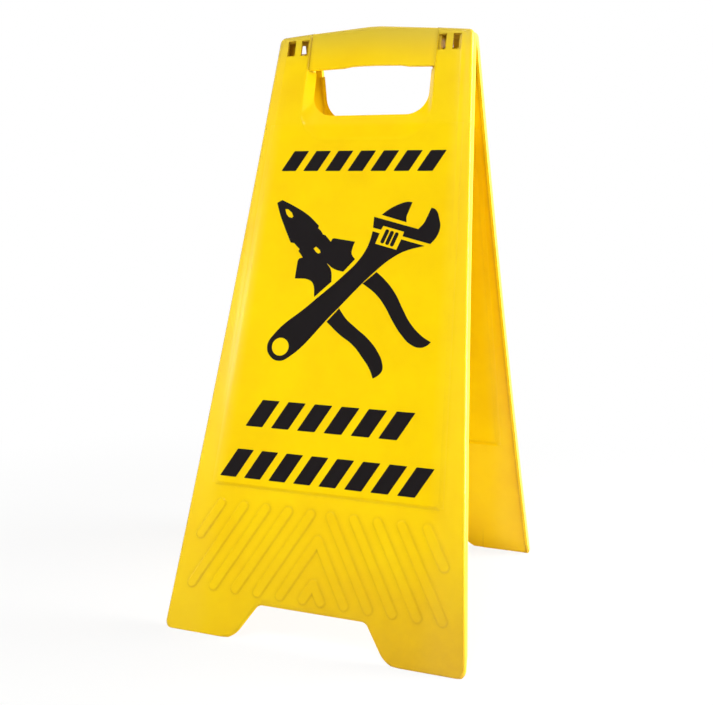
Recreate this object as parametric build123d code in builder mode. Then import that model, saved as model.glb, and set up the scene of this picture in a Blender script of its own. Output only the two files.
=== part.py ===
"""Folding A-frame floor sign: two like moulded halves that hinge at the top on two short pins."""

import os
from math import atan, cos, radians, sin, tan

from build123d import *

os.makedirs("parts", exist_ok=True)

# Stance, in degrees and millimetres
lean_angle = 15.7             # tilt of each half from upright when the sign stands open
stop_gap = 0.3                # between the two top rims that stop the opening

# Outline of one half, measured up its slope and across it
corner_height = 612.0         # floor to the top corners
crest_rise = 10.0             # crest of the handle above those corners
crest_radius = 130.0
top_width = 206.5             # across the top corners
foot_width = 304.3            # across both feet
side_bow = 2.3                # how far each side edge curves in
top_corner_radius = 6.5
foot_corner_radius = 8.0
arch_height = 35.3            # the cut-out between the feet
arch_top_width = 108.8
arch_foot_width = 156.6
arch_radius = 8.0
toe_radius = 26.0             # inner corners of the feet
foot_trim = 1.3               # lower edge of the outline, below the floor that cuts it off

# Moulding
wall = 2.8
rim_depth = 12.0              # face to the free edge of the turned-in rim
edge_bevel = 2.4              # outer edges of the face
rim_bevel = 4.0               # height of the stop face at the corners
rim_heel = 20.0               # height over which the rim runs out at the feet
foot_depth = 3.6              # thickness of the feet where they stand
foot_taper = 30.0             # height over which they thicken to it

# Raised field that carries the print, with a level border round it
field_rise = 2.0
field_bottom = 146.5          # floor to the middle of its lower edge
field_bottom_width = 227.0
field_inset = 10.25           # from the top corners
field_margin = 6.0            # below the top edge
field_corner_radius = 4.0
field_step_run = 3.0          # slope of its lower edge
field_side_run = 4.6          # slopes of its sides
border_margin = 2.8           # level strip above it

# Slanted ribs below the field
rib_count = 6                 # long ribs on each side
rib_pitch = 23.6
rib_first = 9.0               # lower end of the innermost rib, from the middle
rib_foot = 47.0               # height of the lower ends
rib_head = 127.0              # height of the upper ends
rib_short_foot = 95.0         # lower end of the short rib beside the outermost one
rib_short_setback = 3.0       # of that end, inwards
rib_slant = 30.0              # degrees from upright
rib_width = 10.5
rib_rise = 1.2
rib_slope_run = 1.6

# Dished hand hole
hole_drop = 83.0              # top corners to the lower edge of the hole
hole_radius = 22.0
hole_depth = 9.3              # edge of the hole, behind the face
dish_side_run = 7.0           # slope of the dish beside the hole
dish_lower_run = 29.0         # and below it
dish_radius = 30.0
dish_rim_depth = 0.9          # softened edge of the dish
dish_rim_flare = 2.0          # its run, as a multiple of that of the slope
dish_clearance = 0.25         # between the dish and the windows

# Handle bar above the hole
bar_drop = 37.05              # top corners to the underside
bar_end_depth = 0.5           # ends of the bar, behind the face
bar_bulge = 4.0               # ridge in the middle, in front of the face
bar_ridge_width = 12.0
bar_middle_roll = 12.0        # radius of the upper edge at the ridge
bar_end_roll = 3.4            # and at the ends
bar_end_wall = 1.5
finger_rise = 1.3             # finger notch in the underside
finger_width = 51.0
finger_offset = 6.7           # its middle, to the right of that of the bar
finger_slope = 9.0
rear_bar_rise = 9.3           # underside of the rear bar above that of the front one

# Hinge
hinge_inset = 22.75           # top corners to the middle of a hinge
hinge_drop = 13.0             # axis below the line where the rims meet
pin_diameter = 5.0
pin_running_gap = 0.06        # radial, in the tongue
pin_squeeze = 0.02            # radial, in the ears
pin_end_chamfer = 0.6
pin_overhang = 0.8            # past the outer face of each ear
knuckle_radius = 4.5
knuckle_side_gap = 0.3
tongue_width = 6.8            # also the wall left between the two windows
tongue_reach = 11.0           # of the tongue along the wall, down from the windows
ear_thickness = 2.6
window_width = 8.3
window_height = 16.5
window_drop = 5.5             # top corners to the upper edge of the windows
lug_reach = 5.0               # of the ears along the wall, past the ends of the windows

# Places that follow from the sizes above
crest_height = corner_height + crest_rise
foot_inner = arch_foot_width / 2 + 0.6 * toe_radius
tongue_centre = top_width / 2 - hinge_inset
window_reach = tongue_width / 2 + window_width
window_top = corner_height - window_drop
window_bottom = window_top - window_height
bar_half = tongue_centre - window_reach - dish_clearance
bar_underside = corner_height - bar_drop
hole_half = bar_half - dish_side_run
hole_bottom = corner_height - hole_drop

# Frame of one half, modelled flat: X across it, Y up its slope, Z out of its face
lean = radians(lean_angle)
meet_height = corner_height - rim_bevel
middle_plane = Plane(origin=(0, meet_height, -rim_depth), z_dir=(0, -sin(lean), cos(lean)))
floor_plane = Plane(origin=(0, 0, 0), z_dir=(0, cos(lean), sin(lean)))
knuckle_height = meet_height - hinge_drop * cos(lean) + stop_gap / 2 * sin(lean)
knuckle_level = -rim_depth - hinge_drop * sin(lean) - stop_gap / 2 * cos(lean)

# Stances of the front and rear half in the frame of the sign
half_depth = meet_height * sin(lean) + rim_depth * cos(lean) + stop_gap / 2
front_stance = Plane(origin=(0, -half_depth, 0), x_dir=(1, 0, 0), z_dir=(0, -cos(lean), sin(lean)))
rear_stance = Plane(origin=(0, half_depth, 0), x_dir=(-1, 0, 0), z_dir=(0, cos(lean), sin(lean)))

# Outline of one half
with BuildSketch() as outline:
    with BuildLine():
        crest = Line((0, crest_height), (top_width / 2, corner_height))
        taper = Vector(foot_width / 2, -foot_trim) - crest @ 1
        bow = taper.normalized().rotate(Axis.Z, -90) * side_bow
        side = ThreePointArc(crest @ 1, crest @ 1 + taper / 2 + bow, crest @ 1 + taper)
        toe = (arch_foot_width / 2, -foot_trim)
        Polyline(side @ 1, toe, (arch_top_width / 2, arch_height), (0, arch_height))
        mirror(about=Plane.YZ)
    make_face()
    fillet(outline.vertices().group_by(Axis.Y)[-2], top_corner_radius)
    fillet(outline.vertices().group_by(Axis.Y)[-1], crest_radius)
    fillet(outline.vertices().group_by(Axis.Y)[1], arch_radius)
    fillet(outline.vertices().group_by(Axis.Y)[0].sort_by(Axis.X)[1:3], toe_radius)
    fillet(outline.vertices().group_by(Axis.Y)[0].sort_by(Axis.X)[::3], foot_corner_radius)

# Raised field: share 0 is the foot of its slopes, share 1 its printed top
def field_outline(level, share, skin):
    """Outline of the field at a level over the face, drawn in for a skin that lies behind it."""
    tuck = skin * tan(atan(field_rise / field_step_run) / 2)
    spread = field_side_run * (1 - share) - tuck
    half_bottom = field_bottom_width / 2 + spread
    half_top = top_width / 2 - field_inset + spread
    drop = border_margin + (field_margin - border_margin) * share + tuck
    bottom = field_bottom + field_step_run * (share - 1 / 2) + tuck
    with BuildSketch(Plane.XY.offset(level)) as section:
        with BuildLine():
            Polyline(
                (-half_bottom, bottom),
                (half_bottom, bottom),
                (half_top, corner_height - drop),
                (0, crest_height - drop),
                (-half_top, corner_height - drop),
                close=True)
        make_face()
        fillet(section.vertices().sort_by(Axis.Y)[:4], field_corner_radius)
    return section.sketch


def field_form(skin):
    """Solid of the raised field and its slopes, set back by a skin."""
    with BuildPart() as form:
        foot = [field_outline(level - skin, 0, skin) for level in (-wall, 0)]
        loft([*foot, field_outline(field_rise - skin, 1, skin)], ruled=True)
    return form


# Slanted ribs with sloping sides, the inner ones meeting as an upturned V
with BuildPart() as ribs:
    lower_ends = [(rib_first + rib_pitch * number, rib_foot) for number in range(rib_count)]
    lower_ends.append((lower_ends[-1][0] - rib_short_setback, rib_short_foot))
    slant = radians(rib_slant)
    for foot_x, foot_y in lower_ends:
        climb = min(rib_head - foot_y, foot_x / tan(slant))
        middle = (foot_x - climb / 2 * tan(slant), foot_y + climb / 2, 0)
        place = Plane(origin=middle, x_dir=(-sin(slant), cos(slant), 0), z_dir=(0, 0, 1))
        with BuildSketch(place):
            SlotCenterToCenter(climb / cos(slant), rib_width)
        with BuildSketch(place.offset(rib_rise)):
            SlotCenterToCenter(climb / cos(slant), rib_width - 2 * rib_slope_run)
        loft(ruled=True)
    mirror(about=Plane.YZ)

# Dish: its sides run straight from the edge of the hole up to a softened rim on the field
dish_fall = field_rise + hole_depth


def dish_share(level):
    """Part of the dish's slope that lies below a level over the face."""
    rim = max(0, level - field_rise + dish_rim_depth)
    return (level + hole_depth + (dish_rim_flare - 1) * rim) / dish_fall


def dish_section(level, top, skin=0.0):
    """Outline of the dish at a level over the face, grown by a skin that lies behind its sides."""
    share = dish_share(level)
    half_width = hole_half + dish_side_run * share + skin / cos(atan(dish_side_run / dish_fall))
    bottom = hole_bottom - dish_lower_run * share - skin / cos(atan(dish_lower_run / dish_fall))
    radius = hole_radius + (dish_radius - hole_radius) * share + skin
    with BuildSketch(Plane.XY.offset(level)) as section:
        with Locations((0, bottom)):
            Rectangle(2 * half_width, top - bottom, align=(Align.CENTER, Align.MIN))
        fillet(section.vertices().group_by(Axis.Y)[0], radius)
    return section.sketch


# The space that the dish takes out of the face, and the skin behind it
with BuildPart() as dish_space:
    dish_levels = (field_rise + wall, field_rise - dish_rim_depth, -hole_depth - wall)
    loft([dish_section(level, crest_height + wall) for level in dish_levels], ruled=True)

with BuildPart() as dish_skin:
    loft([dish_section(level, corner_height - wall, wall) for level in (0, -hole_depth)], ruled=True)


def bar_section(across, skin):
    """Section of the handle bar at a place across the half, or of the hollow that leaves a skin."""
    share = abs(across) / bar_half
    face = bar_bulge - (bar_bulge + bar_end_depth) * share - skin
    top = crest_height - crest_rise * abs(across) / (top_width / 2) - skin
    roll = bar_middle_roll + (bar_end_roll - bar_middle_roll) * share - skin
    with BuildSketch(Plane.YZ.offset(across)) as section:
        with Locations((bar_underside, face)):
            Rectangle(top - bar_underside, face + rim_depth + skin, align=(Align.MIN, Align.MAX))
        upper_edge = section.vertices().group_by(Axis.Y)[-1].sort_by(Axis.X)[-1]
        if skin:
            chamfer(upper_edge, 0.6 * roll)
        else:
            fillet(upper_edge, roll)
    return section.sketch


def bar_form(half_width, skin):
    """Solid of the handle bar, or of its hollow, which is open below and behind."""
    places = (-half_width, -bar_ridge_width / 2, bar_ridge_width / 2, half_width)
    with BuildPart() as form:
        loft([bar_section(across, skin) for across in places], ruled=True)
    return form


# Hinge lugs: places across the half, counted from its middle
inner_ear = tongue_centre - window_reach
outer_ear = tongue_centre + window_reach
boss_gap = tongue_width / 2 + knuckle_side_gap


def lug(start, thickness, foot, head):
    """Lug from a stretch of the wall back to the hinge axis."""
    with BuildPart() as form:
        with BuildSketch(Plane.YZ.offset(start)):
            with Locations((knuckle_height, knuckle_level)):
                Circle(knuckle_radius)
            with Locations((foot, 0)):
                Rectangle(head - foot, wall, align=(Align.MIN, Align.MAX))
            make_hull()
        extrude(amount=thickness)
    return form


def rod(start, end, radius):
    """Round rod on the hinge axis."""
    with BuildPart() as form:
        with BuildSketch(Plane.YZ.offset(start)):
            with Locations((knuckle_height, knuckle_level)):
                Circle(radius)
        extrude(amount=end - start)
    return form


# Space behind the face, inside the rim: open at the feet, which thicken towards the floor
with BuildPart() as pocket:
    with BuildSketch(Plane.XY.offset(-wall)):
        add(outline.sketch)
        offset(amount=-wall)
        Rectangle(foot_width - 2 * foot_corner_radius, 2 * foot_corner_radius)
        Rectangle(2 * foot_inner, 2 * (arch_height + 2 * wall))
    extrude(amount=-rim_depth)
    for side in (-1, 1):
        with BuildSketch(Plane.YZ.offset(side * foot_inner)):
            with BuildLine():
                Polyline((0, -wall), (foot_taper, -wall), (0, -foot_depth), close=True)
            make_face()
        extrude(amount=side * foot_width / 2, mode=Mode.SUBTRACT)

# One half: a tray with its rim turned in round the sides and the top
with BuildPart() as half:
    add(outline.sketch)
    extrude(amount=-rim_depth)
    chamfer(half.edges().group_by(Axis.Z)[-1], edge_bevel)
    add(pocket.part, mode=Mode.SUBTRACT)

    # Raised field, hollow behind
    add(field_form(0).part)
    add(field_form(wall).part, mode=Mode.SUBTRACT)

    # Windows in front of the hinge
    with BuildSketch(Plane.XY.offset(field_rise + wall)):
        window_middle = (window_top + window_bottom) / 2
        with Locations((-tongue_centre, window_middle), (tongue_centre, window_middle)):
            with GridLocations(tongue_width + window_width, 0, 2, 1):
                Rectangle(window_width, window_height)
    extrude(amount=-field_rise - 3 * wall, mode=Mode.SUBTRACT)

    # Ribs, dish and handle bar
    add(ribs.part)
    add(dish_skin.part)
    add(dish_space.part, mode=Mode.SUBTRACT)
    add(bar_form(bar_half, 0).part)
    hollow_half = hole_half + dish_side_run * dish_share(-bar_end_depth - wall) - bar_end_wall
    add(bar_form(hollow_half, wall).part, mode=Mode.SUBTRACT)
    with BuildSketch():
        with BuildLine():
            Polyline(
                (finger_offset - finger_width / 2 - finger_slope, bar_underside),
                (finger_offset - finger_width / 2, bar_underside + finger_rise),
                (finger_offset + finger_width / 2, bar_underside + finger_rise),
                (finger_offset + finger_width / 2 + finger_slope, bar_underside),
                close=True)
        make_face()
    extrude(amount=rim_depth, both=True, mode=Mode.SUBTRACT)

    # Ends of the rim, which run out into the feet
    with BuildSketch(Plane.YZ):
        with BuildLine():
            Polyline((0, -foot_depth), (rim_heel, -rim_depth), (0, -rim_depth), close=True)
        make_face()
    extrude(amount=foot_width / 2, both=True, mode=Mode.SUBTRACT)

    # Stop faces in the middle of the sign, and feet level with the floor
    split(bisect_by=middle_plane, keep=Keep.TOP)
    split(bisect_by=floor_plane, keep=Keep.TOP)

    # Two ears that hold a pin on one side, and a tongue that turns on the next pin on the other
    ear_stretch = (window_bottom - lug_reach, window_top + lug_reach)
    add(lug(inner_ear, ear_thickness, *ear_stretch).part)
    add(lug(outer_ear - ear_thickness, ear_thickness, *ear_stretch).part)
    add(rod(inner_ear, tongue_centre - boss_gap, knuckle_radius).part)
    add(rod(tongue_centre + boss_gap, outer_ear, knuckle_radius).part)
    add(rod(inner_ear, outer_ear, pin_diameter / 2 - pin_squeeze).part, mode=Mode.SUBTRACT)
    tongue_stretch = (window_bottom - tongue_reach, window_bottom)
    add(lug(-tongue_centre - tongue_width / 2, tongue_width, *tongue_stretch).part)
    add(rod(-outer_ear, -inner_ear, pin_diameter / 2 + pin_running_gap).part, mode=Mode.SUBTRACT)

# The rear bar ends higher, so that the fingers close round the front one
with BuildPart() as grip_space:
    add(dish_space.part)
    with Locations((0, bar_underside, 0)):
        Box(foot_width, 2 * rear_bar_rise, 4 * rim_depth, mode=Mode.INTERSECT)

with BuildPart() as rear_half:
    add(half.part)
    add(grip_space.part, mode=Mode.SUBTRACT)

# The two halves, standing open
with BuildPart() as front_panel:
    with Locations(front_stance):
        add(half.part)

with BuildPart() as rear_panel:
    with Locations(rear_stance):
        add(rear_half.part)

# Their pins
with BuildPart() as pin:
    add(rod(inner_ear - pin_overhang, outer_ear + pin_overhang, pin_diameter / 2).part)
    chamfer(pin.edges().filter_by(GeomType.CIRCLE), pin_end_chamfer)

with BuildPart() as right_hinge_pin:
    with Locations(front_stance):
        add(pin.part)

with BuildPart() as left_hinge_pin:
    with Locations(rear_stance):
        add(pin.part)

front_panel.part.label = "front_panel"
export_step(front_panel.part, "parts/front_panel.step")

rear_panel.part.label = "rear_panel"
export_step(rear_panel.part, "parts/rear_panel.step")

right_hinge_pin.part.label = "right_hinge_pin"
export_step(right_hinge_pin.part, "parts/right_hinge_pin.step")

left_hinge_pin.part.label = "left_hinge_pin"
export_step(left_hinge_pin.part, "parts/left_hinge_pin.step")
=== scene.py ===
"""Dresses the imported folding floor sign: moulded halves, hinge pins, black print and a studio stage."""

from math import cos, pi, radians, sin, tan

import bmesh
import bpy
from bpy.props import FloatProperty, FloatVectorProperty, PointerProperty
from bpy.types import Operator, Panel, PropertyGroup
from mathutils import Matrix, Vector


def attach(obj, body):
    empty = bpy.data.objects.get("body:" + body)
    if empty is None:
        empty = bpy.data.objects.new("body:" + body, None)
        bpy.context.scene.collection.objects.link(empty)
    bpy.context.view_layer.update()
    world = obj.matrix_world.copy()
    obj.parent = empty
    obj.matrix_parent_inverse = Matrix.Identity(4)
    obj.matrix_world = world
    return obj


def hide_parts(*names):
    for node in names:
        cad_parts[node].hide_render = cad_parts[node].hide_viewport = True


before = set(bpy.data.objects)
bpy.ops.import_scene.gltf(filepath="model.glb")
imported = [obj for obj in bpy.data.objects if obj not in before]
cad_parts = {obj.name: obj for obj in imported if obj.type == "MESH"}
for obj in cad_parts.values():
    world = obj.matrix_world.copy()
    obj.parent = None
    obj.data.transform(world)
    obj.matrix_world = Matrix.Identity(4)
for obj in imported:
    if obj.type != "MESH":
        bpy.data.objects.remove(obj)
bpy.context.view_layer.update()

bl_info = {
    "name": "Folding floor sign",
    "version": (1, 0, 0),
    "blender": (4, 5, 0),
    "location": "3D View > Sidebar > Floor sign",
    "description": "Builds the looks of a moulded A-frame floor sign round its CAD frame",
    "category": "Object",
}

MM = 0.001

# Each half by its body, with its CAD nodes and its turn about the upright axis
HALVES = {
    "front_half": {"name": "front", "panel": "front_panel", "pin": "right_hinge_pin", "turn": 0.0},
    "rear_half": {"name": "rear", "panel": "rear_panel", "pin": "left_hinge_pin", "turn": pi},
}


def linear(hex_colour):
    """An sRGB hex colour as linear red, green and blue."""
    channels = [int(hex_colour[i:i + 2], 16) / 255 for i in (1, 3, 5)]
    return tuple(c / 12.92 if c <= 0.04045 else ((c + 0.055) / 1.055) ** 2.4 for c in channels)


# Settings that a user would change


class SignSizes(PropertyGroup):
    """Sizes of the dressed sign"""

    lean: FloatProperty(
        name="Lean", description="Tilt of each half from upright", default=radians(15.7), subtype="ANGLE")
    heel: FloatProperty(
        name="Heel", description="Middle of the sign to the foot of a face", default=176.227 * MM,
        unit="LENGTH", precision=5)
    field_rise: FloatProperty(
        name="Field rise", description="Printed field over the face", default=2.0 * MM, unit="LENGTH",
        precision=5)
    ink: FloatProperty(
        name="Ink", description="Thickness of the printed ink", default=0.08 * MM, unit="LENGTH",
        precision=5)
    sharp: FloatProperty(
        name="Sharp edges", description="Edges that turn further than this stay sharp",
        default=radians(24), subtype="ANGLE")
    bevel: FloatProperty(
        name="Bevel", description="Turn at the moulding's bevelled edges, which look round",
        default=radians(45), subtype="ANGLE")
    block_slant: FloatProperty(
        name="Block slant", description="Slant of the printed hazard blocks", default=radians(30),
        subtype="ANGLE")


class SignColours(PropertyGroup):
    """Colours of the sign"""

    plastic: FloatVectorProperty(
        name="Plastic", description="Yellow of the moulded halves", default=linear("#F8D305"),
        subtype="COLOR")
    plastic_deep: FloatVectorProperty(
        name="Deep plastic", description="Yellow where the moulding is cloudy", default=linear("#F2C708"),
        subtype="COLOR")
    # Scuffed yellow of the feet, which also carries painted shade, darker towards the floor and the right
    # foot
    scuffed_and_shaded: FloatVectorProperty(
        name="Scuffed", description="Dulled yellow of the feet", default=linear("#C99B22"), subtype="COLOR")
    # Painted shade: the top of the handle bar is mixed towards this duller olive yellow
    bar_top_shade: FloatVectorProperty(
        name="Handled", description="Dulled yellow of the handle bar", default=linear("#CDB43A"),
        subtype="COLOR")
    # Painted shade: shallow corners are mixed towards this brownish yellow
    corner_shade: FloatVectorProperty(
        name="Dust", description="Brownish yellow of dusty corners", default=linear("#A87C1C"),
        subtype="COLOR")
    ink: FloatVectorProperty(
        name="Ink", description="Black of the print", default=linear("#1B1819"), subtype="COLOR")
    floor: FloatVectorProperty(
        name="Floor", description="Colour of the studio floor", default=linear("#DADAD8"), subtype="COLOR")


class StageSettings(PropertyGroup):
    """Camera and light of the studio"""

    eye: FloatVectorProperty(
        name="Eye", description="Where the camera stands", default=(0.3220, -0.9551, 0.4028),
        subtype="TRANSLATION")
    azimuth: FloatProperty(
        name="Azimuth", description="Camera to the right of straight ahead", default=radians(19.54),
        subtype="ANGLE")
    pitch: FloatProperty(
        name="Pitch", description="Camera looks down by this", default=radians(8.02), subtype="ANGLE")
    roll: FloatProperty(
        name="Roll", description="Turn of the picture", default=radians(-0.93), subtype="ANGLE")
    lens: FloatProperty(
        name="Lens", description="Focal length on a sensor 36 mm wide", default=47.98, unit="CAMERA")
    floor_glow: FloatProperty(
        name="Floor glow", description="Share of white that the eye sees in the floor near the sign",
        default=0.85, subtype="FACTOR")
    sky_light: FloatProperty(
        name="Sky light", description="Strength of the even light from all round", default=0.18,
        subtype="FACTOR")


# Materials


def add_node(tree, kind, settings=None, **inputs):
    """A node with its settings; an input, by name or as i and its place, is a value or a feeding socket."""
    node = tree.nodes.new(kind)
    for name, value in (settings or {}).items():
        setattr(node, name, value)
    for name, value in inputs.items():
        by_place = name[0] == "i" and name[1:].isdigit()
        socket = node.inputs[int(name[1:]) if by_place else name.replace("_", " ")]
        if isinstance(value, bpy.types.NodeSocket):
            tree.links.new(value, socket)
        else:
            socket.default_value = value
    return node


def new_material(name):
    """An empty node material and its node tree."""
    material = bpy.data.materials.new(name)
    material.use_nodes = True
    material.node_tree.nodes.clear()
    return material, material.node_tree


def made_once(name, make, *arguments):
    """The material of that name, made if there is none yet."""
    return bpy.data.materials.get(name) or make(*arguments)


def rgba(colour):
    """A colour with full cover."""
    return (*colour, 1.0)


# Moulded polypropylene, by heights over the floor and distances from the middle
FIELD_LOW, FIELD_HIGH = 141 * MM, 583 * MM                # ends of the raised field
FIELD_LOW_HALF, FIELD_HIGH_HALF = 113.5 * MM, 93 * MM     # its half widths there
DISH_MIDDLE = 497 * MM                                    # about half way up the dish's slope
SCUFF_AND_SHADE_HIGH = 150 * MM                                     # where scuffs and painted shade fade out
BAR_LOW, BAR_HIGH = 555 * MM, 605 * MM                    # over these heights the bar's top is painted darker, as shade
BORDER_START, BORDER_END = -6 * MM, 26 * MM               # fall of the border, from the field's edge
BORDER_FALL = 2.4 * MM                                    # how far it falls, by 6 degrees at its steepest
CORNER_SHADE_REACH = 5 * MM                                       # reach of the painted shade from a corner
MEAN_GLOSS = 0.12


def field_distance(tree, axes):
    """How far a point lies beyond the sides of the raised field, which narrows upwards."""
    across = add_node(tree, "ShaderNodeMath", {"operation": "ABSOLUTE"}, i0=axes["X"]).outputs[0]
    half_width = add_node(
        tree, "ShaderNodeMapRange", Value=axes["Z"], From_Min=FIELD_LOW, From_Max=FIELD_HIGH,
        To_Min=FIELD_LOW_HALF, To_Max=FIELD_HIGH_HALF).outputs["Result"]
    return add_node(
        tree, "ShaderNodeMath", {"operation": "SUBTRACT"}, i0=across, i1=half_width).outputs[0]


def scuff_and_shade_share(tree, place, axes):
    """Share of scuffs and painted shade: both fade out upwards and are heavier in front, and the right foot
    is painted darker as shade.
    """
    # Darker towards the floor: partly scuffs, partly painted shade
    share = add_node(
        tree, "ShaderNodeMapRange", {"interpolation_type": "SMOOTHSTEP"}, Value=axes["Z"],
        From_Min=0.0, From_Max=SCUFF_AND_SHADE_HIGH, To_Min=1.5, To_Max=0.0).outputs["Result"]
    # Painted shade: the right foot is darker than the left
    right_foot_shade = add_node(
        tree, "ShaderNodeMapRange", Value=axes["X"], From_Min=-150 * MM, From_Max=120 * MM, To_Min=0.2,
        To_Max=1.0).outputs["Result"]
    fronted = add_node(
        tree, "ShaderNodeMapRange", Value=axes["Y"], From_Min=-120 * MM, From_Max=120 * MM, To_Min=1.0,
        To_Max=0.3).outputs["Result"]
    # Rubbed patches about 12 mm across
    rubs = add_node(
        tree, "ShaderNodeTexNoise", Vector=place, Scale=1 / (12 * MM), Detail=5.0, Roughness=0.65)
    rubbed = add_node(
        tree, "ShaderNodeMapRange", Value=rubs.outputs["Fac"], To_Min=0.38, To_Max=0.62).outputs["Result"]
    for part in (right_foot_shade, fronted, rubbed):
        share = add_node(
            tree, "ShaderNodeMath", {"operation": "MULTIPLY"}, i0=share, i1=part).outputs[0]
    return share


def corner_shade_share(tree):
    """Share of painted shade, in the shallow corners of ribs, steps and dish and not in deep hollows."""
    # Occlusion by the moulding itself sets where the shade is painted
    open_share = add_node(
        tree, "ShaderNodeAmbientOcclusion", {"samples": 8, "only_local": True},
        Distance=CORNER_SHADE_REACH).outputs["AO"]
    cornered = add_node(
        tree, "ShaderNodeMapRange", Value=open_share, From_Min=0.6, From_Max=1.0, To_Min=0.7,
        To_Max=0.0).outputs["Result"]
    shallow = add_node(
        tree, "ShaderNodeMapRange", Value=open_share, From_Min=0.3, From_Max=0.65).outputs["Result"]
    return add_node(
        tree, "ShaderNodeMath", {"operation": "MULTIPLY"}, i0=cornered, i1=shallow).outputs[0]


def plastic_colour(tree, place, axes, colours):
    """Cloudy yellow with scuffs, and with painted shade on the feet, the handle bar's top and in shallow
    corners.
    """
    # Uneven pigment, in patches about 70 mm across
    cloud = add_node(
        tree, "ShaderNodeTexNoise", Vector=place, Scale=1 / (70 * MM), Detail=3.0, Roughness=0.55)
    clouded = add_node(
        tree, "ShaderNodeMapRange", Value=cloud.outputs["Fac"], From_Min=0.35,
        From_Max=0.75).outputs["Result"]
    # Painted shade: the top of the handle bar turns a duller olive
    toward_bar_top = add_node(
        tree, "ShaderNodeMapRange", {"interpolation_type": "SMOOTHSTEP"}, Value=axes["Z"],
        From_Min=BAR_LOW, From_Max=BAR_HIGH).outputs["Result"]
    # The scuff layer is partly real scuffs and partly painted shade; the bar-top and corner layers are
    # painted shade
    layers = (
        (clouded, colours.plastic_deep),
        (scuff_and_shade_share(tree, place, axes), colours.scuffed_and_shaded),
        (toward_bar_top, colours.bar_top_shade),
        (corner_shade_share(tree), colours.corner_shade),
    )
    colour = rgba(colours.plastic)
    for share, layer in layers:
        colour = add_node(
            tree, "ShaderNodeMix", {"data_type": "RGBA"}, Factor=share, i6=colour,
            i7=rgba(layer)).outputs[2]
    return colour


def plastic_relief(tree, place, axes, beyond):
    """Normals of a border that falls away from the field, long waves and grain."""
    fall = add_node(
        tree, "ShaderNodeMapRange", {"interpolation_type": "SMOOTHSTEP"}, Value=beyond,
        From_Min=BORDER_START, From_Max=BORDER_END, To_Min=BORDER_FALL, To_Max=0.0).outputs["Result"]
    # The fall fades out downwards, over the ribs
    rise = add_node(
        tree, "ShaderNodeMapRange", {"interpolation_type": "SMOOTHSTEP"}, Value=axes["Z"],
        From_Min=90 * MM, From_Max=150 * MM).outputs["Result"]
    fall = add_node(tree, "ShaderNodeMath", {"operation": "MULTIPLY"}, i0=fall, i1=rise).outputs[0]
    normal = add_node(tree, "ShaderNodeBump", Strength=1.0, Distance=1.0, Height=fall).outputs["Normal"]

    # Waves about 90 mm long, and grain drawn at 1.6 mm because the real 0.4 mm is too fine to show
    wave = add_node(tree, "ShaderNodeTexNoise", Vector=place, Scale=1 / (90 * MM), Detail=1.0)
    grain = add_node(
        tree, "ShaderNodeTexNoise", Vector=place, Scale=1 / (1.6 * MM), Detail=2.0, Roughness=0.5)
    for pattern, strength, depth in ((wave, 0.5, 1.2 * MM), (grain, 0.25, 0.06 * MM)):
        normal = add_node(
            tree, "ShaderNodeBump", Strength=strength, Distance=depth, Height=pattern.outputs["Fac"],
            Normal=normal).outputs["Normal"]
    return normal


def plastic_sheen(tree, axes, beyond):
    """Roughness and gloss: the field was left matt to take the ink, and everything round it is smoother."""
    beside = add_node(
        tree, "ShaderNodeMapRange", Value=beyond, From_Min=-10 * MM, From_Max=6 * MM).outputs["Result"]
    over = add_node(
        tree, "ShaderNodeMath", {"operation": "GREATER_THAN"}, i0=axes["Z"], i1=DISH_MIDDLE).outputs[0]
    under = add_node(
        tree, "ShaderNodeMath", {"operation": "LESS_THAN"}, i0=axes["Z"], i1=FIELD_LOW).outputs[0]
    smooth = beside
    for part in (over, under):
        smooth = add_node(
            tree, "ShaderNodeMath", {"operation": "MAXIMUM"}, i0=smooth, i1=part).outputs[0]
    rough = add_node(
        tree, "ShaderNodeMapRange", Value=smooth, To_Min=0.5, To_Max=0.26).outputs["Result"]
    gloss = add_node(
        tree, "ShaderNodeMapRange", Value=smooth, To_Min=0.03, To_Max=0.12).outputs["Result"]
    gloss = add_node(
        tree, "ShaderNodeMath", {"operation": "MULTIPLY_ADD"}, i0=beside, i1=0.16, i2=gloss).outputs[0]
    return rough, gloss


def moulded_polypropylene(colours):
    """Polypropylene from a spark-eroded mould: satin, cloudy in its colour, dulled where feet rub, with
    shade painted into its colour.
    """
    material, tree = new_material("moulded_polypropylene_yellow")
    place = add_node(tree, "ShaderNodeTexCoord").outputs["Object"]
    axes = add_node(tree, "ShaderNodeSeparateXYZ", Vector=place).outputs
    beyond = field_distance(tree, axes)
    rough, gloss = plastic_sheen(tree, axes, beyond)
    shader = add_node(
        tree, "ShaderNodeBsdfPrincipled", Base_Color=plastic_colour(tree, place, axes, colours),
        Roughness=rough, Normal=plastic_relief(tree, place, axes, beyond), IOR=1.49,
        Specular_IOR_Level=gloss)
    # The mean is for a reader that takes no pattern there
    shader.inputs["Specular IOR Level"].default_value = MEAN_GLOSS
    add_node(tree, "ShaderNodeOutputMaterial", Surface=shader.outputs[0])
    return material


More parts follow.
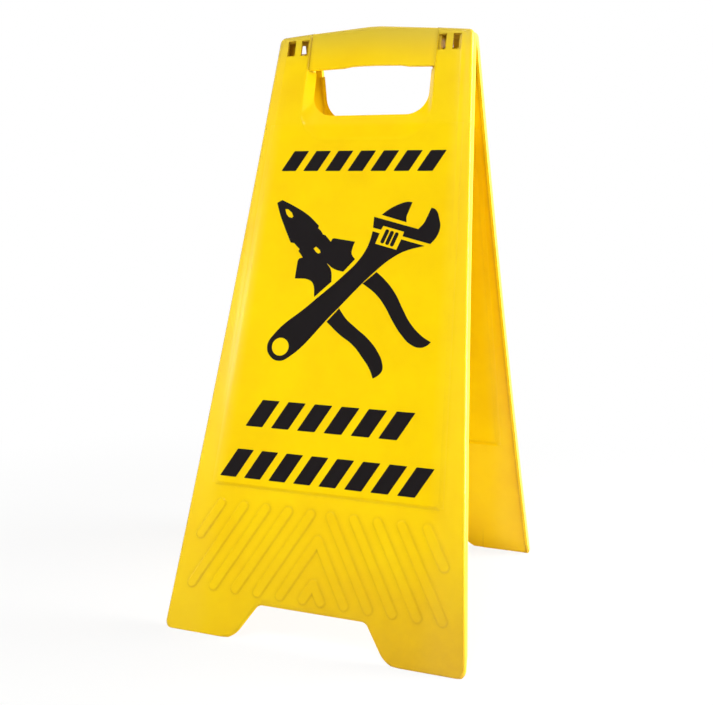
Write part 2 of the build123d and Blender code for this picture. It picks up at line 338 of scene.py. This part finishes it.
def screen_ink(colours):
    """Screen-printed ink: near black, a little less even and less glossy than the plastic under it."""
    material, tree = new_material("screen_ink_black")
    place = add_node(tree, "ShaderNodeTexCoord").outputs["Object"]
    # Marks of the screen's weave, 1.2 mm apart, and patches about 25 mm across
    weave = add_node(tree, "ShaderNodeTexNoise", Vector=place, Scale=1 / (1.2 * MM), Detail=2.0)
    patch = add_node(tree, "ShaderNodeTexNoise", Vector=place, Scale=1 / (25 * MM), Detail=3.0)
    paler = [c * 1.35 for c in colours.ink]
    tone = add_node(
        tree, "ShaderNodeMix", {"data_type": "RGBA"}, Factor=patch.outputs["Fac"], i6=rgba(colours.ink),
        i7=rgba(paler)).outputs[2]
    rough = add_node(
        tree, "ShaderNodeMapRange", Value=patch.outputs["Fac"], To_Min=0.42, To_Max=0.58).outputs["Result"]
    bump = add_node(
        tree, "ShaderNodeBump", Strength=0.2, Distance=0.02 * MM,
        Height=weave.outputs["Fac"]).outputs["Normal"]
    shader = add_node(
        tree, "ShaderNodeBsdfPrincipled", Base_Color=tone, Roughness=rough, Normal=bump, IOR=1.5,
        Specular_IOR_Level=0.015)
    add_node(tree, "ShaderNodeOutputMaterial", Surface=shader.outputs[0])
    return material


def seen_share(tree):
    """1 for rays that show the background, straight, mirrored or through glass, and 0 for the others."""
    rays = add_node(tree, "ShaderNodeLightPath").outputs
    share = rays["Is Camera Ray"]
    for kind in ("Is Glossy Ray", "Is Transmission Ray"):
        share = add_node(
            tree, "ShaderNodeMath", {"operation": "MAXIMUM"}, i0=share, i1=rays[kind]).outputs[0]
    return share


def studio_white(colours, glow):
    """Painted studio floor that the camera sees as nearly white and that keeps soft shadows."""
    material, tree = new_material("studio_white_paint")
    # The glow grows to a full white away from the sign, so that no edge of the floor shows
    away = add_node(
        tree, "ShaderNodeVectorMath", {"operation": "LENGTH"},
        i0=add_node(tree, "ShaderNodeTexCoord").outputs["Object"]).outputs["Value"]
    glow = add_node(
        tree, "ShaderNodeMapRange", {"interpolation_type": "SMOOTHSTEP"}, Value=away, From_Min=0.2,
        From_Max=0.9, To_Min=glow, To_Max=1.0).outputs["Result"]
    share = add_node(tree, "ShaderNodeMath", {"operation": "MULTIPLY"}, i0=seen_share(tree), i1=glow)
    paint = add_node(tree, "ShaderNodeBsdfDiffuse", Color=rgba(colours.floor))
    white = add_node(tree, "ShaderNodeEmission", Color=(1, 1, 1, 1), Strength=1.0)
    mix = add_node(
        tree, "ShaderNodeMixShader", Fac=share.outputs[0], i1=paint.outputs[0], i2=white.outputs[0])
    add_node(tree, "ShaderNodeOutputMaterial", Surface=mix.outputs[0])
    return material


# Pieces


def add_piece(name, mesh, finish, body):
    """A finished mesh as a piece that rides on a body; print has no slot of its own."""
    mesh.name = name
    mesh.materials.clear()
    mesh.materials.append(finish)
    piece = bpy.data.objects.new(name, mesh)
    bpy.context.scene.collection.objects.link(piece)
    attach(piece, body)
    return piece


def smooth_copy(node, sizes):
    """The merged mesh of a CAD node, smooth over its rounded edges."""
    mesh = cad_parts[node].data.copy()
    bm = bmesh.new()
    bm.from_mesh(mesh)
    bmesh.ops.remove_doubles(bm, verts=bm.verts, dist=0.002 * MM)
    for edge in bm.edges:
        turn = edge.calc_face_angle(0.0)
        edge.smooth = turn < sizes.sharp or abs(turn - sizes.bevel) < radians(1)
    for face in bm.faces:
        face.smooth = True
    bm.to_mesh(mesh)
    bm.free()
    return mesh


def weigh_normals(piece):
    """Flat faces keep flat shading beside rounded edges."""
    modifier = piece.modifiers.new("flat_faces", "WEIGHTED_NORMAL")
    modifier.mode = "FACE_AREA"
    modifier.weight = 100
    modifier.keep_sharp = True


class SIGN_OT_halves(Operator):
    """Dress the two moulded halves"""

    bl_idname = "sign.halves"
    bl_label = "Moulded halves"

    def execute(self, context):
        scene = context.scene
        plastic = made_once("moulded_polypropylene_yellow", moulded_polypropylene, scene.sign_colours)
        for body, half in HALVES.items():
            mesh = smooth_copy(half["panel"], scene.sign_sizes)
            piece = add_piece(half["name"] + "_moulding", mesh, plastic, body)
            weigh_normals(piece)
            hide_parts(half["panel"])
        return {"FINISHED"}


class SIGN_OT_pins(Operator):
    """Dress the hinge pins"""

    bl_idname = "sign.pins"
    bl_label = "Hinge pins"

    def execute(self, context):
        scene = context.scene
        plastic = made_once("moulded_polypropylene_yellow", moulded_polypropylene, scene.sign_colours)
        for body, half in HALVES.items():
            mesh = smooth_copy(half["pin"], scene.sign_sizes)
            piece = add_piece(half["pin"] + "_rod", mesh, plastic, body)
            weigh_normals(piece)
            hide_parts(half["pin"])
        return {"FINISHED"}


# Print

INK_SINK = 0.02               # mm of the ink's thickness in the plastic


def face_place(sizes, turn):
    """Matrix from a half's face, across and up it in metres, to the sign's frame."""
    lean = sizes.lean
    place = Matrix((
        (1, 0, 0, 0),
        (0, sin(lean), -cos(lean), -sizes.heel),
        (0, cos(lean), sin(lean), 0),
        (0, 0, 0, 1)))
    return Matrix.Rotation(turn, 4, "Z") @ place


def raise_ink(bm, sizes, turn):
    """Flat shapes drawn on a face, given the thickness of ink and put on the printed field."""
    bmesh.ops.recalc_face_normals(bm, faces=bm.faces)
    raised = bmesh.ops.extrude_face_region(bm, geom=bm.faces[:])["geom"]
    tops = [item for item in raised if isinstance(item, bmesh.types.BMVert)]
    bmesh.ops.translate(bm, verts=tops, vec=(0, 0, sizes.ink))
    bmesh.ops.translate(bm, verts=bm.verts, vec=(0, 0, sizes.field_rise - INK_SINK * MM))
    bmesh.ops.transform(bm, matrix=face_place(sizes, turn), verts=bm.verts)
    bmesh.ops.recalc_face_normals(bm, faces=bm.faces)
    mesh = bpy.data.meshes.new("ink")
    bm.to_mesh(mesh)
    bm.free()
    return mesh


# Rows of printed blocks: left end, right end, lower and upper edge in mm on the face, and their number
BLOCK_ROWS = (
    ("upper_row", -83.0, 88.5, 466.5, 487.5, 7),
    ("middle_row", -89.0, 83.5, 205.0, 232.0, 6),
    ("lower_row", -110.0, 107.0, 154.0, 182.0, 8),
)
BLOCK_SHARE = 0.66            # black part of each step along a row
BLOCK_CORNER = 0.8            # mm


class SIGN_OT_blocks(Operator):
    """Print the rows of slanted hazard blocks"""

    bl_idname = "sign.blocks"
    bl_label = "Hazard blocks"

    def execute(self, context):
        sizes = context.scene.sign_sizes
        black = made_once("screen_ink_black", screen_ink, context.scene.sign_colours)
        for body, half in HALVES.items():
            for name, *row in BLOCK_ROWS:
                mesh = raise_ink(self.draw_row(sizes, *row), sizes, half["turn"])
                add_piece(f"{half['name']}_print_{name}", mesh, black, body)
        return {"FINISHED"}

    def draw_row(self, sizes, left, right, low, high, count):
        """Flat slanted blocks with rounded corners, side by side."""
        slant = tan(sizes.block_slant)
        slanted = Matrix(((1, slant, 0, 0), (0, 1, 0, 0), (0, 0, 1, 0), (0, 0, 0, 1)))
        lean_run = (high - low) * slant
        step = (right - left - lean_run) / (count - 1 + BLOCK_SHARE)
        bm = bmesh.new()
        for number in range(count):
            middle = left + lean_run / 2 + step * (number + BLOCK_SHARE / 2)
            place = Matrix.Translation((middle * MM, (low + high) / 2 * MM, 0)) @ slanted
            place @= Matrix.Diagonal((step * BLOCK_SHARE * MM, (high - low) * MM, 1, 1))
            bmesh.ops.create_grid(bm, x_segments=1, y_segments=1, size=0.5, matrix=place)
        bmesh.ops.bevel(
            bm, geom=bm.verts[:], offset=BLOCK_CORNER * MM, affect="VERTICES", segments=4, profile=0.5,
            material=-1)
        return bm


# Outlines of the crossed tools in mm on the face; a third value marks a smooth point
SMOOTH = True
WRENCH = (
    # Handle, neck and fixed jaw side
    ((-71.5, 296.0, SMOOTH), (-36.5, 329.0, SMOOTH), (-2.0, 361.5, SMOOTH), (10.5, 375.5, SMOOTH),
     (17.0, 386.5, SMOOTH), (20.5, 396.5, SMOOTH), (22.0, 405.5), (29.5, 403.5), (26.0, 393.0),
     (48.0, 387.5), (52.0, 398.0), (76.0, 392.0), (58.5, 387.0, SMOOTH), (46.5, 380.5, SMOOTH),
     (31.0, 367.5, SMOOTH), (-10.0, 322.0, SMOOTH), (-51.5, 276.0, SMOOTH), (-61.5, 271.8, SMOOTH),
     (-71.5, 276.0, SMOOTH), (-75.7, 286.0, SMOOTH)),
    # Hanging hole
    ((-61.5, 295.0, SMOOTH), (-70.5, 286.0, SMOOTH), (-61.5, 277.0, SMOOTH), (-52.5, 286.0, SMOOTH)),
    # Hooked jaw
    ((22.0, 420.0), (68.0, 408.5), (73.0, 414.5, SMOOTH), (75.5, 420.5, SMOOTH), (79.0, 430.0),
     (83.5, 428.0, SMOOTH), (88.0, 418.5, SMOOTH), (89.5, 410.5, SMOOTH), (87.0, 401.5, SMOOTH),
     (81.5, 394.0), (53.0, 401.0), (54.0, 405.5), (32.5, 411.0), (30.5, 407.0), (22.0, 409.0)),
    # Sliding jaw
    ((29.5, 422.0), (37.0, 428.0, SMOOTH), (46.5, 433.0, SMOOTH), (55.5, 435.5, SMOOTH),
     (59.5, 435.0), (57.0, 427.0, SMOOTH), (55.0, 420.5, SMOOTH), (55.5, 415.0)),
)
PLIERS = (
    # Jaws and joint
    ((-83.5, 433.0), (-78.0, 436.0), (-62.5, 429.0, SMOOTH), (-47.5, 420.5, SMOOTH), (-35.0, 410.0),
     (-35.5, 407.5), (-32.0, 404.5, SMOOTH), (-29.5, 401.0), (-27.0, 400.5), (-20.5, 394.0),
     (-19.0, 397.0), (-17.0, 397.5), (5.0, 394.5), (3.0, 387.5, SMOOTH), (3.0, 382.0, SMOOTH),
     (7.0, 377.0), (-4.0, 364.0), (-14.0, 366.5, SMOOTH), (-22.0, 372.0), (-17.0, 365.5, SMOOTH),
     (-15.0, 353.5), (-31.5, 337.5), (-34.5, 351.0, SMOOTH), (-39.0, 354.5, SMOOTH), (-54.5, 355.5),
     (-53.5, 374.0), (-52.0, 376.0), (-48.5, 377.0), (-54.0, 383.5), (-53.0, 385.5),
     (-57.0, 389.0, SMOOTH), (-59.5, 391.5), (-63.5, 392.0), (-72.0, 407.5, SMOOTH),
     (-78.5, 420.5, SMOOTH)),
    # Gap between the jaws
    ((-73.5, 426.5), (-70.5, 426.5), (-66.0, 423.0), (-64.0, 419.0), (-65.5, 417.5), (-69.0, 418.5),
     (-72.0, 422.0)),
    # Rivet
    ((-38.0, 386.5), (-35.5, 388.5), (-31.0, 385.0), (-30.0, 382.5), (-32.5, 381.5), (-35.0, 383.0)),
    # Right handle
    ((30.5, 365.0), (40.5, 357.0, SMOOTH), (52.0, 344.0, SMOOTH), (60.5, 330.0, SMOOTH),
     (70.0, 316.0, SMOOTH), (82.5, 304.5, SMOOTH), (91.5, 299.5), (88.0, 296.0, SMOOTH),
     (81.5, 293.5, SMOOTH), (72.0, 296.0, SMOOTH), (61.5, 305.0, SMOOTH), (52.0, 317.0, SMOOTH),
     (42.0, 332.0, SMOOTH), (32.0, 343.0, SMOOTH), (17.5, 353.0)),
    # Left handle
    ((-4.0, 327.5), (4.5, 317.5, SMOOTH), (15.5, 309.0, SMOOTH), (28.5, 299.5, SMOOTH),
     (39.5, 288.0, SMOOTH), (46.0, 276.0, SMOOTH), (46.5, 269.5, SMOOTH), (43.5, 265.0, SMOOTH),
     (38.0, 261.0), (33.5, 270.0, SMOOTH), (26.0, 279.5, SMOOTH), (13.5, 292.5, SMOOTH),
     (-0.5, 301.5, SMOOTH), (-15.5, 313.5)),
)

# Ribs of the wrench's adjusting worm, by their middles and their size in mm
WORM_RIBS = ((35.0, 400.5), (40.0, 399.1), (45.0, 397.7))
WORM_RIB_WIDTH, WORM_RIB_LENGTH = 3.9, 14.8
WORM_RIB_CORNER = 0.45 * WORM_RIB_WIDTH
WORM_RIB_TILT = radians(-20)


def figure_mesh(outlines):
    """Flat mesh inside closed smooth outlines; an outline within another is a hole."""
    curve = bpy.data.curves.new("figure", "CURVE")
    curve.dimensions = "2D"
    curve.fill_mode = "BOTH"
    curve.resolution_u = 8
    for outline in outlines:
        spline = curve.splines.new("BEZIER")
        spline.bezier_points.add(len(outline) - 1)
        spline.use_cyclic_u = True
        for point, (across, up, *smooth) in zip(spline.bezier_points, outline):
            point.co = (across * MM, up * MM, 0)
            kind = "AUTO" if smooth else "VECTOR"
            point.handle_left_type = kind
            point.handle_right_type = kind
    drawn = bpy.data.objects.new("figure", curve)
    bpy.context.scene.collection.objects.link(drawn)
    bpy.context.view_layer.update()
    graph = bpy.context.evaluated_depsgraph_get()
    mesh = bpy.data.meshes.new_from_object(drawn.evaluated_get(graph))
    bpy.data.objects.remove(drawn)
    bpy.data.curves.remove(curve)
    return mesh


class SIGN_OT_tools(Operator):
    """Print the crossed wrench and pliers"""

    bl_idname = "sign.tools"
    bl_label = "Crossed tools"

    def execute(self, context):
        sizes = context.scene.sign_sizes
        black = made_once("screen_ink_black", screen_ink, context.scene.sign_colours)
        for body, half in HALVES.items():
            for name, outlines in (("wrench", WRENCH), ("pliers", PLIERS)):
                bm = bmesh.new()
                mesh = figure_mesh(outlines)
                bm.from_mesh(mesh)
                bpy.data.meshes.remove(mesh)
                bmesh.ops.remove_doubles(bm, verts=bm.verts, dist=0.01 * MM)
                bmesh.ops.dissolve_limit(bm, angle_limit=radians(0.5), verts=bm.verts, edges=bm.edges)
                if name == "wrench":
                    self.add_worm(bm)
                mesh = raise_ink(bm, sizes, half["turn"])
                add_piece(f"{half['name']}_print_{name}", mesh, black, body)
        return {"FINISHED"}

    def add_worm(self, bm):
        """Short rounded ribs of the adjusting worm, in the window of the wrench."""
        tilted = Matrix.Rotation(WORM_RIB_TILT, 4, "Z")
        size = Matrix.Diagonal((WORM_RIB_WIDTH * MM, WORM_RIB_LENGTH * MM, 1, 1))
        for across, up in WORM_RIBS:
            place = Matrix.Translation((across * MM, up * MM, 0)) @ tilted @ size
            rib = bmesh.ops.create_grid(bm, x_segments=1, y_segments=1, size=0.5, matrix=place)
            bmesh.ops.bevel(
                bm, geom=rib["verts"], offset=WORM_RIB_CORNER * MM, affect="VERTICES", segments=5,
                profile=0.5, material=-1)


# Stage

FLOOR_HALF = 6.0              # half the floor's width in metres
SENSOR_WIDTH = 36.0           # mm
MIDDLE = (0.0, -0.09, 0.32)   # of the front half

# Softboxes: name, place, target and size in metres, watts, and the spread in degrees that a grid leaves
SOFTBOXES = (
    ("key", (0.15, -1.1, 1.9), (0.1, -0.14, 0.14), (0.5, 0.5), 2.5, 60),
    ("right_fill", (0.9, -1.0, 0.5), MIDDLE, (0.5, 0.5), 1.0, 180),
    ("side", (1.4, 0.45, 0.35), (0.0, 0.0, 0.3), (0.9, 0.7), 36.0, 180),
    ("between", (1.0, 0.28, 0.9), (0.0, 0.0, 0.0), (0.5, 0.5), 16.0, 180),
    ("strip", (-0.83, -0.8, 0.7), MIDDLE, (0.18, 0.34), 5.6, 180),
)


class SIGN_OT_stage(Operator):
    """Set the floor, the light and the camera"""

    bl_idname = "sign.stage"
    bl_label = "Studio stage"

    def execute(self, context):
        scene = context.scene
        self.add_floor(scene)
        self.add_world(scene)
        for softbox in SOFTBOXES:
            self.add_softbox(scene, *softbox)
        self.add_camera(scene)
        scene.view_settings.view_transform = "Standard"
        return {"FINISHED"}

    def add_floor(self, scene):
        """A wide flat floor under the sign."""
        bm = bmesh.new()
        bmesh.ops.create_grid(bm, x_segments=1, y_segments=1, size=FLOOR_HALF)
        mesh = bpy.data.meshes.new("studio_floor")
        bm.to_mesh(mesh)
        bm.free()
        glow = scene.sign_stage.floor_glow
        mesh.materials.append(made_once("studio_white_paint", studio_white, scene.sign_colours, glow))
        floor = bpy.data.objects.new("studio_floor", mesh)
        scene.collection.objects.link(floor)

    def add_world(self, scene):
        """A sky that is white to the eye and lights the sign softly."""
        world = bpy.data.worlds.new("studio")
        world.use_nodes = True
        tree = world.node_tree
        tree.nodes.clear()
        strength = add_node(
            tree, "ShaderNodeMapRange", Value=seen_share(tree), To_Min=scene.sign_stage.sky_light,
            To_Max=1.0).outputs["Result"]
        sky = add_node(tree, "ShaderNodeBackground", Color=(1, 1, 1, 1), Strength=strength)
        add_node(tree, "ShaderNodeOutputWorld", Surface=sky.outputs[0])
        scene.world = world

    def add_softbox(self, scene, name, place, target, size, power, spread):
        """A flat lamp at a place that faces a target."""
        lamp = bpy.data.lights.new(name, "AREA")
        lamp.shape = "RECTANGLE"
        lamp.size, lamp.size_y = size
        lamp.energy = power
        lamp.spread = radians(spread)
        light = bpy.data.objects.new(name, lamp)
        light.location = place
        light.rotation_euler = (Vector(target) - Vector(place)).to_track_quat("-Z", "Y").to_euler()
        scene.collection.objects.link(light)

    def add_camera(self, scene):
        """The camera at the photograph's viewing angle."""
        stage = scene.sign_stage
        camera = bpy.data.objects.new("camera", bpy.data.cameras.new("camera"))
        camera.data.lens = stage.lens
        camera.data.sensor_width = SENSOR_WIDTH
        camera.data.sensor_fit = "HORIZONTAL"
        camera.data.clip_start = 0.01
        level = Vector((cos(stage.azimuth), sin(stage.azimuth), 0))
        ahead = Vector((-sin(stage.azimuth), cos(stage.azimuth), 0)) * cos(stage.pitch)
        ahead.z = -sin(stage.pitch)
        right = level * cos(stage.roll) + ahead.cross(level) * sin(stage.roll)
        turn = Matrix((right, -ahead.cross(right), -ahead)).transposed().to_4x4()
        camera.matrix_world = Matrix.Translation(stage.eye) @ turn
        scene.collection.objects.link(camera)
        scene.camera = camera


class SIGN_PT_panel(Panel):
    """Steps and settings of the floor sign"""

    bl_idname = "SIGN_PT_panel"
    bl_label = "Floor sign"
    bl_space_type = "VIEW_3D"
    bl_region_type = "UI"
    bl_category = "Floor sign"

    def draw(self, context):
        for step in STEPS:
            self.layout.operator(step.bl_idname)
        for group in SETTINGS:
            box = self.layout.box()
            settings = getattr(context.scene, group)
            for name in settings.__annotations__:
                box.prop(settings, name)


SETTINGS = {"sign_sizes": SignSizes, "sign_colours": SignColours, "sign_stage": StageSettings}
STEPS = (SIGN_OT_halves, SIGN_OT_pins, SIGN_OT_blocks, SIGN_OT_tools, SIGN_OT_stage)
CLASSES = (*SETTINGS.values(), *STEPS, SIGN_PT_panel)


def register():
    for cls in CLASSES:
        bpy.utils.register_class(cls)
    for name, cls in SETTINGS.items():
        setattr(bpy.types.Scene, name, PointerProperty(type=cls))


def unregister():
    for name in SETTINGS:
        delattr(bpy.types.Scene, name)
    for cls in reversed(CLASSES):
        bpy.utils.unregister_class(cls)


def main():
    register()
    bpy.ops.sign.halves()
    bpy.ops.sign.pins()
    bpy.ops.sign.blocks()
    bpy.ops.sign.tools()
    bpy.ops.sign.stage()


if __name__ == "__main__":
    main()
